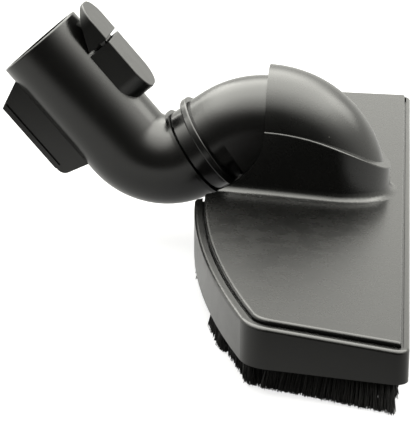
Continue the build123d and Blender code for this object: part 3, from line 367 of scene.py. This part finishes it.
def new_material(name):
    """A material with its main shader, the bench for its nodes and the place on the object."""
    material = bpy.data.materials.new(name)
    material.use_nodes = True
    material.node_tree.nodes.clear()
    bench = NodeBench(material.node_tree)
    shader = bench.add("ShaderNodeBsdfPrincipled")
    bench.add("ShaderNodeOutputMaterial", {"Surface": shader.outputs["BSDF"]})
    place = bench.add("ShaderNodeTexCoord").outputs["Object"]
    return material, bench, shader, place


def dusted(bench, place, tone, dust):
    """The tone with specks of dust on it."""
    cells = bench.add("ShaderNodeTexVoronoi", {"Vector": place, "Scale": 1 / DUST_SPACING}).outputs
    near = bench.spread(cells["Distance"], 1.0, 0.0, *DUST_EDGE)
    lot = bench.add("ShaderNodeSeparateColor", {"Color": cells["Color"]}).outputs["Red"]
    chosen = bench.math("GREATER_THAN", lot, 1.0 - dust)
    return bench.mix_colours(bench.math("MULTIPLY", near, chosen), tone, DUST_GREY)


def moulding(name, colour, surface, index, mottle=MOTTLE, dust=0.0, scuff=SCUFF):
    """Moulded plastic or rubber: grained, a little uneven in tone and gloss, and dusted where asked for."""
    roughness, grain, grain_depth = surface
    material, bench, shader, place = new_material(name)
    shader.inputs["IOR"].default_value = index
    cloud = bench.spread(bench.noise(place, CLOUD_SIZE, CLOUD_DETAIL), 0.0, 1.0)
    tone = bench.mix_colours(cloud, shade(colour, 1 - mottle), shade(colour, 1 + mottle))
    if dust:
        tone = dusted(bench, place, tone, dust)
    bench.feed(shader.inputs["Base Color"], tone)
    rub = bench.noise(place, RUB_SIZE, RUB_DETAIL, RUB_COARSENESS)
    bench.feed(shader.inputs["Roughness"], bench.spread(rub, roughness - scuff, roughness + scuff))
    grains = bench.noise(place, grain, coarseness=GRAIN_COARSENESS)
    bump = bench.add("ShaderNodeBump", {"Height": grains, "Distance": grain_depth, "Strength": 1.0})
    bench.feed(shader.inputs["Normal"], bump.outputs["Normal"])
    return material


def satin_moulding(name, look, finish):
    """Charcoal moulding with one of the satin finishes."""
    rougher, dust = finish
    surface = (look.satin + rougher, look.grain, look.grain_depth)
    return moulding(name, look.charcoal, surface, look.index, dust=dust)


def fibre_material(colour):
    """Black fibres, each a little lighter or darker than the next."""
    material, bench, shader, place = new_material("bristle_fibres")
    each = bench.add("ShaderNodeNewGeometry").outputs["Random Per Island"]
    darkest, lightest = (shade(colour, factor) for factor in FIBRE_SHADES)
    bench.feed(shader.inputs["Base Color"], bench.mix_colours(each, darkest, lightest))
    bench.feed(shader.inputs["Roughness"], bench.spread(bench.noise(place, FIBRE_PATCH), *FIBRE_ROUGHNESS))
    shader.inputs["Specular IOR Level"].default_value = FIBRE_SPECULAR
    return material


def steel_material():
    """Zinc-plated steel with a faint cloudy tarnish."""
    material, bench, shader, place = new_material("zinc_steel")
    cloud = bench.noise(place, STEEL_CLOUD, STEEL_DETAIL)
    tone = bench.mix_colours(bench.spread(cloud, 0.0, 1.0), STEEL_TARNISHED, STEEL_BRIGHT)
    bench.feed(shader.inputs["Base Color"], tone)
    shader.inputs["Metallic"].default_value = 1.0
    bench.feed(shader.inputs["Roughness"], bench.spread(cloud, *STEEL_ROUGHNESS))
    return material


def dress(nodes, material):
    """Puts one material on CAD nodes."""
    for name in nodes:
        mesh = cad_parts[name].data
        mesh.materials.clear()
        mesh.materials.append(material)


class BRUSHHEAD_OT_finish_plate(Operator):
    """Finishes the plate: shell, cover with its hood, and the bars of the bristles"""

    bl_idname = "brush_head.finish_plate"
    bl_label = "Finish plate"

    def execute(self, context):
        look = context.scene.brush_head_finish
        surface = (BAR_ROUGHNESS, look.grain, look.grain_depth)
        dress(["base_shell"], satin_moulding("shell_charcoal", look, SHELL_FINISH))
        dress(["top_cover"], satin_moulding("cover_charcoal", look, COVER_FINISH))
        bars = [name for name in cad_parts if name.endswith("_bar")]
        dress(bars, moulding("bar_black", look.fibre_black, surface, look.index))
        return {"FINISHED"}


class BRUSHHEAD_OT_finish_neck(Operator):
    """Finishes the drum, the swivel ring, the neck and the wand lock"""

    bl_idname = "brush_head.finish_neck"
    bl_label = "Finish neck"

    def execute(self, context):
        look = context.scene.brush_head_finish
        polished = (look.polish, look.grain, 0.0)
        ring = moulding("ring_black", look.ring_black, polished, look.index, scuff=RING_SCUFF)
        neck = [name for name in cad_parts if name.startswith("neck_")]
        dress(["drum_elbow"], satin_moulding("drum_charcoal", look, DRUM_FINISH))
        dress(["collar_ring"], ring)
        dress(neck, satin_moulding("neck_charcoal", look, NECK_FINISH))
        dress(["lock_button", "lock_cover"], satin_moulding("lock_charcoal", look, LOCK_FINISH))
        return {"FINISHED"}


class BRUSHHEAD_OT_finish_fixings(Operator):
    """Finishes the screws, pins, spring, spacers and seals"""

    bl_idname = "brush_head.finish_fixings"
    bl_label = "Finish fixings"

    def execute(self, context):
        look = context.scene.brush_head_finish
        steel = ["cover_screws", "hinge_pin_left", "hinge_pin_right", "lock_pin", "lock_spring"]
        rubber = moulding("seal_rubber", look.fibre_black, RUBBER_SURFACE, look.index)
        nylon = moulding("spacer_nylon", NYLON_WHITE, NYLON_SURFACE, look.index, mottle=NYLON_MOTTLE)
        dress(steel, steel_material())
        dress(["hood_seal", "swivel_seal"], rubber)
        dress(["tilt_spacer_left", "tilt_spacer_right"], nylon)
        return {"FINISHED"}


def bristle_inputs(tree):
    """Gives the tree of the bristles its named inputs and its output."""
    kinds = {
        "Density": "Float", "Radius": "Float", "Length": "Float", "Root": "Float", "Unevenness": "Float",
        "Splay": "Float", "Clump": "Float", "Clump lean": "Float", "Curl": "Float", "Rear end": "Float",
        "Front end": "Float", "Wear": "Float", "Lean": "Vector", "Fan": "Vector", "Seed": "Int",
        "Material": "Material",
    }
    face = tree.interface
    face.new_socket("Geometry", in_out="INPUT", socket_type="NodeSocketGeometry")
    for name, kind in kinds.items():
        face.new_socket(name, in_out="INPUT", socket_type="NodeSocket" + kind)
    face.new_socket("Geometry", in_out="OUTPUT", socket_type="NodeSocketGeometry")


def single_fibre(bench, given):
    """Nodes of one fibre of unit length: hanging down, curled and tapered."""
    line = bench.add("GeometryNodeCurvePrimitiveLine", {"Start": (0, 0, 0), "End": (0, 0, -1)}).outputs[0]
    line = bench.add("GeometryNodeResampleCurve", {"Curve": line, "Count": FIBRE_POINTS}).outputs[0]
    along = bench.add("GeometryNodeSplineParameter").outputs["Factor"]
    bend = bench.joined(X=bench.math("MULTIPLY", bench.math("MULTIPLY", along, along), given["Curl"]))
    line = bench.add("GeometryNodeSetPosition", {"Geometry": line, "Offset": bend}).outputs[0]
    taper = bench.math("SUBTRACT", 1.0, bench.math("MULTIPLY", along, FIBRE_TAPER))
    section = bench.add(
        "GeometryNodeCurvePrimitiveCircle", {"Resolution": FIBRE_SIDES, "Radius": given["Radius"]}
    ).outputs[0]
    swept = {"Curve": line, "Profile Curve": section, "Scale": taper, "Fill Caps": True}
    return bench.add("GeometryNodeCurveToMesh", swept).outputs[0]


def fibre_roots(bench, given):
    """Nodes of the points where fibres grow: on the top face of the block, a little up in the bar."""
    rise = bench.parts(bench.add("GeometryNodeInputNormal").outputs["Normal"])["Z"]
    top = bench.add(
        "GeometryNodeSeparateGeometry",
        {"Geometry": given["Geometry"], "Selection": bench.math("GREATER_THAN", rise, TOP_FACE)},
        domain="FACE",
    ).outputs[0]
    roots = bench.add(
        "GeometryNodeDistributePointsOnFaces",
        {"Mesh": top, "Density": given["Density"], "Seed": given["Seed"]},
        distribute_method="RANDOM",
    ).outputs["Points"]
    sunk = bench.joined(Z=given["Root"])
    return bench.add("GeometryNodeSetPosition", {"Geometry": roots, "Offset": sunk}).outputs[0]


def fibre_lean(bench, given, place, share):
    """Nodes of a fibre's lean: its clump's, its own, its strip's, and more at the ends of a fanned strip."""
    per_clump = bench.math("DIVIDE", 1.0, given["Clump"])
    cloud = bench.add("ShaderNodeTexNoise", {"Vector": place, "Scale": per_clump, "Detail": 1.0})
    sway = bench.vector("SUBTRACT", cloud.outputs["Color"], (0.5, 0.5, 0.5))
    single = bench.add(
        "FunctionNodeRandomValue",
        {"Min": (-1, -1, 0), "Max": (1, 1, 0), "Seed": given["Seed"]},
        data_type="FLOAT_VECTOR",
    ).outputs[0]
    sway = bench.scaled(sway, given["Clump lean"])
    lean = bench.vector("ADD", sway, bench.scaled(single, given["Splay"]))
    lean = bench.vector("ADD", lean, given["Lean"])
    fanned = bench.math("SUBTRACT", bench.math("MULTIPLY", share, 2.0), 1.0)
    lean = bench.vector("ADD", lean, bench.scaled(given["Fan"], fanned))
    return bench.vector("MULTIPLY", lean, (1, 1, 0))


def fibre_turn(bench, given, lean):
    """Nodes of a fibre's turn: its lean, after a spin about its own length."""
    spin = bench.add(
        "FunctionNodeRandomValue", {"Max": FULL_TURN, "Seed": given["Seed"]}, data_type="FLOAT"
    ).outputs[1]
    spin = bench.add("FunctionNodeEulerToRotation", {0: bench.joined(Z=spin)}).outputs[0]
    turn = bench.add("FunctionNodeEulerToRotation", {0: lean}).outputs[0]
    return bench.add("FunctionNodeRotateRotation", {0: turn, 1: spin}, rotation_space="LOCAL").outputs[0]


def fibre_size(bench, given, lean, share):
    """Nodes of a fibre's size: long enough to reach the floor, less its unevenness and wear."""
    short = bench.add(
        "FunctionNodeRandomValue",
        {"Min": 0.0, "Max": given["Unevenness"], "Seed": given["Seed"]},
        data_type="FLOAT",
    ).outputs[1]
    worn = bench.math("MULTIPLY", given["Wear"], bench.math("SUBTRACT", 1.0, share))
    left = bench.math("SUBTRACT", bench.math("SUBTRACT", 1.0, short), worn)
    tilt = bench.add("ShaderNodeVectorMath", {0: lean}, operation="LENGTH").outputs["Value"]
    upright = bench.add("ShaderNodeMath", {0: tilt}, operation="COSINE").outputs[0]
    reach = bench.math("DIVIDE", bench.math("MULTIPLY", given["Length"], left), upright)
    return bench.joined(X=1.0, Y=1.0, Z=reach)


def bristle_tree():
    """Node tree that plants fibres under the top face of a strip's block."""
    tree = bpy.data.node_groups.new("plant_bristles", "GeometryNodeTree")
    bristle_inputs(tree)
    bench = NodeBench(tree)
    given = bench.add("NodeGroupInput").outputs
    place = bench.add("GeometryNodeInputPosition").outputs[0]
    share = bench.spread(bench.parts(place)["X"], 0.0, 1.0, given["Rear end"], given["Front end"])
    lean = fibre_lean(bench, given, place, share)
    planting = {
        "Points": fibre_roots(bench, given),
        "Instance": single_fibre(bench, given),
        "Rotation": fibre_turn(bench, given, lean),
        "Scale": fibre_size(bench, given, lean, share),
    }
    planted = bench.add("GeometryNodeInstanceOnPoints", planting).outputs[0]
    planted = bench.add("GeometryNodeRealizeInstances", {"Geometry": planted}).outputs[0]
    planted = bench.add("GeometryNodeSetShadeSmooth", {"Geometry": planted}).outputs[0]
    dressed = bench.add("GeometryNodeSetMaterial", {"Geometry": planted, "Material": given["Material"]})
    bench.add("NodeGroupOutput", {0: dressed.outputs[0]})
    return tree


def strip_holder(block, margin):
    """Copy of a strip's block, grown along and across by a margin, to plant fibres on."""
    low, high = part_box(block)
    holder = bpy.data.objects.new("planting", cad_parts[block].data.copy())
    middle = (low + high) / 2
    grown = 1 + 2 * margin / (high - low).xy.length
    stretch = Matrix.Diagonal((grown, grown, 1, 1))
    holder.data.transform(Matrix.Translation(middle) @ stretch @ Matrix.Translation(-middle))
    bpy.context.scene.collection.objects.link(holder)
    return holder


def plain_mesh(holder, name):
    """Evaluated mesh of a holder as a new object at the origin; the holder goes."""
    graph = bpy.context.evaluated_depsgraph_get()
    mesh = bpy.data.meshes.new_from_object(holder.evaluated_get(graph))
    mesh.name = name
    piece = bpy.data.objects.new(name, mesh)
    bpy.context.scene.collection.objects.link(piece)
    bpy.data.objects.remove(holder)
    return piece


class BRUSHHEAD_OT_plant_bristles(Operator):
    """Plants the fibres of each bristle strip"""

    bl_idname = "brush_head.plant_bristles"
    bl_label = "Plant bristles"

    def execute(self, context):
        sizes = context.scene.brush_head_bristles
        material = fibre_material(context.scene.brush_head_finish.fibre_black)
        tree = bristle_tree()
        items = [item for item in tree.interface.items_tree if item.in_out == "INPUT"]
        sockets = {item.name: item.identifier for item in items}
        for number, (strip, (forward, left, fan, wear)) in enumerate(STRIP_WEAR.items()):
            block = strip + "_bristles"
            low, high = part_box(block)
            holder = strip_holder(block, sizes.margin)
            planting = holder.modifiers.new("planting", "NODES")
            planting.node_group = tree
            values = {
                "Density": sizes.density / MILLIMETRE**2,
                "Radius": sizes.radius,
                "Length": high.z - low.z + sizes.root - sizes.clear,
                "Root": sizes.root,
                "Unevenness": sizes.unevenness,
                "Splay": sizes.splay,
                "Clump": sizes.clump,
                "Clump lean": sizes.clump_lean,
                "Curl": sizes.curl,
                "Lean": (radians(left), radians(-forward), 0.0),
                "Fan": (radians(fan), -sizes.spray if fan else 0.0, 0.0),
                "Rear end": low.x,
                "Front end": high.x,
                "Wear": wear,
                "Seed": sizes.seed + number,
                "Material": material,
            }
            for name, value in values.items():
                planting[sockets[name]] = value
            piece = plain_mesh(holder, strip + "_tufts")
            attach(piece, "head")
            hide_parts(block)
        return {"FINISHED"}


def area_light(name, place, aim, studio):
    """Soft oblong lamp that looks at a point."""
    lamp = bpy.data.lights.new(name, "AREA")
    lamp.shape = "RECTANGLE"
    lamp.size, lamp.size_y = studio.lamp_size
    lamp.energy = studio.lamp_power
    lamp.color = studio.light_colour
    holder = bpy.data.objects.new(name, lamp)
    holder.location = place
    holder.rotation_euler = (Vector(aim) - Vector(place)).to_track_quat("-Z", "Y").to_euler()
    bpy.context.scene.collection.objects.link(holder)


def white_world(studio):
    """White tent, pure white to the camera, with a bright roof and a dim opening at the front."""
    world = bpy.data.worlds.new("white_surround")
    world.use_nodes = True
    world.node_tree.nodes.clear()
    bench = NodeBench(world.node_tree)
    ray = bench.add("ShaderNodeLightPath").outputs
    way = bench.parts(bench.add("ShaderNodeTexCoord").outputs["Generated"])
    behind = bench.spread(way["Y"], studio.opening, 1.0, *OPENING_SPAN)
    roof = bench.spread(way["Z"], 0.0, 1.0, *ROOF_SPAN)
    roof = bench.math("MULTIPLY", roof, roof)
    tent = bench.math("MULTIPLY", bench.mix(roof, studio.tent_low, studio.tent_high), behind)
    lit = bench.math("MULTIPLY", tent, bench.mix(ray["Is Glossy Ray"], studio.tent_fill, 1.0))
    seen = bench.math("MAXIMUM", ray["Is Camera Ray"], ray["Is Transmission Ray"])
    power = bench.mix(seen, lit, 1.0)
    tint = bench.mix_colours(seen, opaque(studio.light_colour), WHITE)
    shader = bench.add("ShaderNodeBackground", {"Color": tint, "Strength": power})
    bench.add("ShaderNodeOutputWorld", {"Surface": shader.outputs[0]})
    bpy.context.scene.world = world


def floor_material(studio):
    """Pale paint with painted shade to the front and a painted glow in reflections to the back, that looks
    white to the camera and keeps the shadow.
    """
    material = bpy.data.materials.new("floor_white")
    material.use_nodes = True
    material.node_tree.nodes.clear()
    bench = NodeBench(material.node_tree)
    ray = bench.add("ShaderNodeLightPath").outputs
    place = bench.parts(bench.add("ShaderNodeTexCoord").outputs["Object"])["Y"]
    back = bench.spread(place, 0.0, 1.0, *FLOOR_SPAN)
    # Painted shade: dark paint in front of the object, which the camera sees as white, darkens reflections
    # and bounced light there
    colour = bench.mix_colours(back, opaque(studio.front_floor_painted_shade), opaque(studio.floor_white))
    paint = bench.add("ShaderNodeBsdfDiffuse", {"Color": colour}).outputs[0]
    # Painted glow in reflections: the floor glows for reflected rays only, growing to the back
    mirrored = bench.math("MAXIMUM", ray["Is Glossy Ray"], ray["Is Transmission Ray"])
    mirrored = bench.math("MULTIPLY", bench.math("MULTIPLY", mirrored, back), studio.reflected_floor_glow)
    glow = bench.math("MULTIPLY", ray["Is Camera Ray"], bench.mix(back, 1.0, studio.floor_glow))
    lift = bench.add("ShaderNodeEmission", {"Strength": bench.math("MAXIMUM", glow, mirrored)}).outputs[0]
    both = bench.add("ShaderNodeAddShader", {0: paint, 1: lift}).outputs[0]
    bench.add("ShaderNodeOutputMaterial", {"Surface": both})
    return material


def white_floor(studio):
    """Large floor under the object."""
    mesh = bpy.data.meshes.new("floor")
    far = FLOOR_REACH
    corners = [(-far, -far, 0), (far, -far, 0), (far, far, 0), (-far, far, 0)]
    mesh.from_pydata(corners, [], [(0, 1, 2, 3)])
    mesh.materials.append(floor_material(studio))
    floor = bpy.data.objects.new("floor", mesh)
    bpy.context.scene.collection.objects.link(floor)


def view_camera(studio):
    """Camera with its place, its three turns and its lens."""
    yaw, pitch, roll = studio.camera_yaw, studio.camera_pitch, studio.camera_roll
    level = Vector((-sin(yaw), cos(yaw), 0))
    side = Vector((cos(yaw), sin(yaw), 0))
    ahead = level * cos(pitch) - Vector((0, 0, sin(pitch)))
    down = -level * sin(pitch) - Vector((0, 0, cos(pitch)))
    right = side * cos(roll) + down * sin(roll)
    down = down * cos(roll) - side * sin(roll)
    turned = Matrix((right, -down, -ahead)).transposed().to_4x4()
    camera = bpy.data.objects.new("camera", bpy.data.cameras.new("camera"))
    camera.data.lens = studio.lens
    camera.data.clip_start = NEAREST_VIEW
    camera.matrix_world = Matrix.Translation(studio.camera_place) @ turned
    bpy.context.scene.collection.objects.link(camera)
    return camera


class BRUSHHEAD_OT_set_studio(Operator):
    """Sets the floor, the light and the camera"""

    bl_idname = "brush_head.set_studio"
    bl_label = "Set studio"

    def execute(self, context):
        studio = context.scene.brush_head_studio
        white_floor(studio)
        white_world(studio)
        middle = (Vector(cad_box[0]) + Vector(cad_box[1])) / 2
        area_light("left_lamp", studio.left_lamp, middle, studio)
        area_light("right_lamp", studio.right_lamp, middle, studio)
        context.scene.camera = view_camera(studio)
        context.scene.view_settings.view_transform = "Standard"
        return {"FINISHED"}


class BRUSHHEAD_PT_panel(Panel):
    """Values of the brush head, and the steps that dress it, in their order"""

    bl_idname = "BRUSHHEAD_PT_panel"
    bl_label = "Brush head"
    bl_space_type = "VIEW_3D"
    bl_region_type = "UI"
    bl_category = "Brush head"

    def draw(self, context):
        for group in GROUPS:
            values = getattr(context.scene, group)
            box = self.layout.box()
            for name in values.__annotations__:
                box.prop(values, name)
        for step in STEPS:
            self.layout.operator(step.bl_idname)


GROUPS = {
    "brush_head_finish": BrushHeadFinish,
    "brush_head_bristles": BrushHeadBristles,
    "brush_head_studio": BrushHeadStudio,
}
STEPS = (
    BRUSHHEAD_OT_finish_plate,
    BRUSHHEAD_OT_finish_neck,
    BRUSHHEAD_OT_finish_fixings,
    BRUSHHEAD_OT_plant_bristles,
    BRUSHHEAD_OT_set_studio,
)


def register():
    for kind in (*GROUPS.values(), *STEPS, BRUSHHEAD_PT_panel):
        bpy.utils.register_class(kind)
    for name, group in GROUPS.items():
        setattr(bpy.types.Scene, name, PointerProperty(type=group))


def unregister():
    for name in GROUPS:
        delattr(bpy.types.Scene, name)
    for kind in reversed((*GROUPS.values(), *STEPS, BRUSHHEAD_PT_panel)):
        bpy.utils.unregister_class(kind)


def main():
    register()
    bpy.ops.brush_head.finish_plate()
    bpy.ops.brush_head.finish_neck()
    bpy.ops.brush_head.finish_fixings()
    bpy.ops.brush_head.plant_bristles()
    bpy.ops.brush_head.set_studio()


if __name__ == "__main__":
    main()
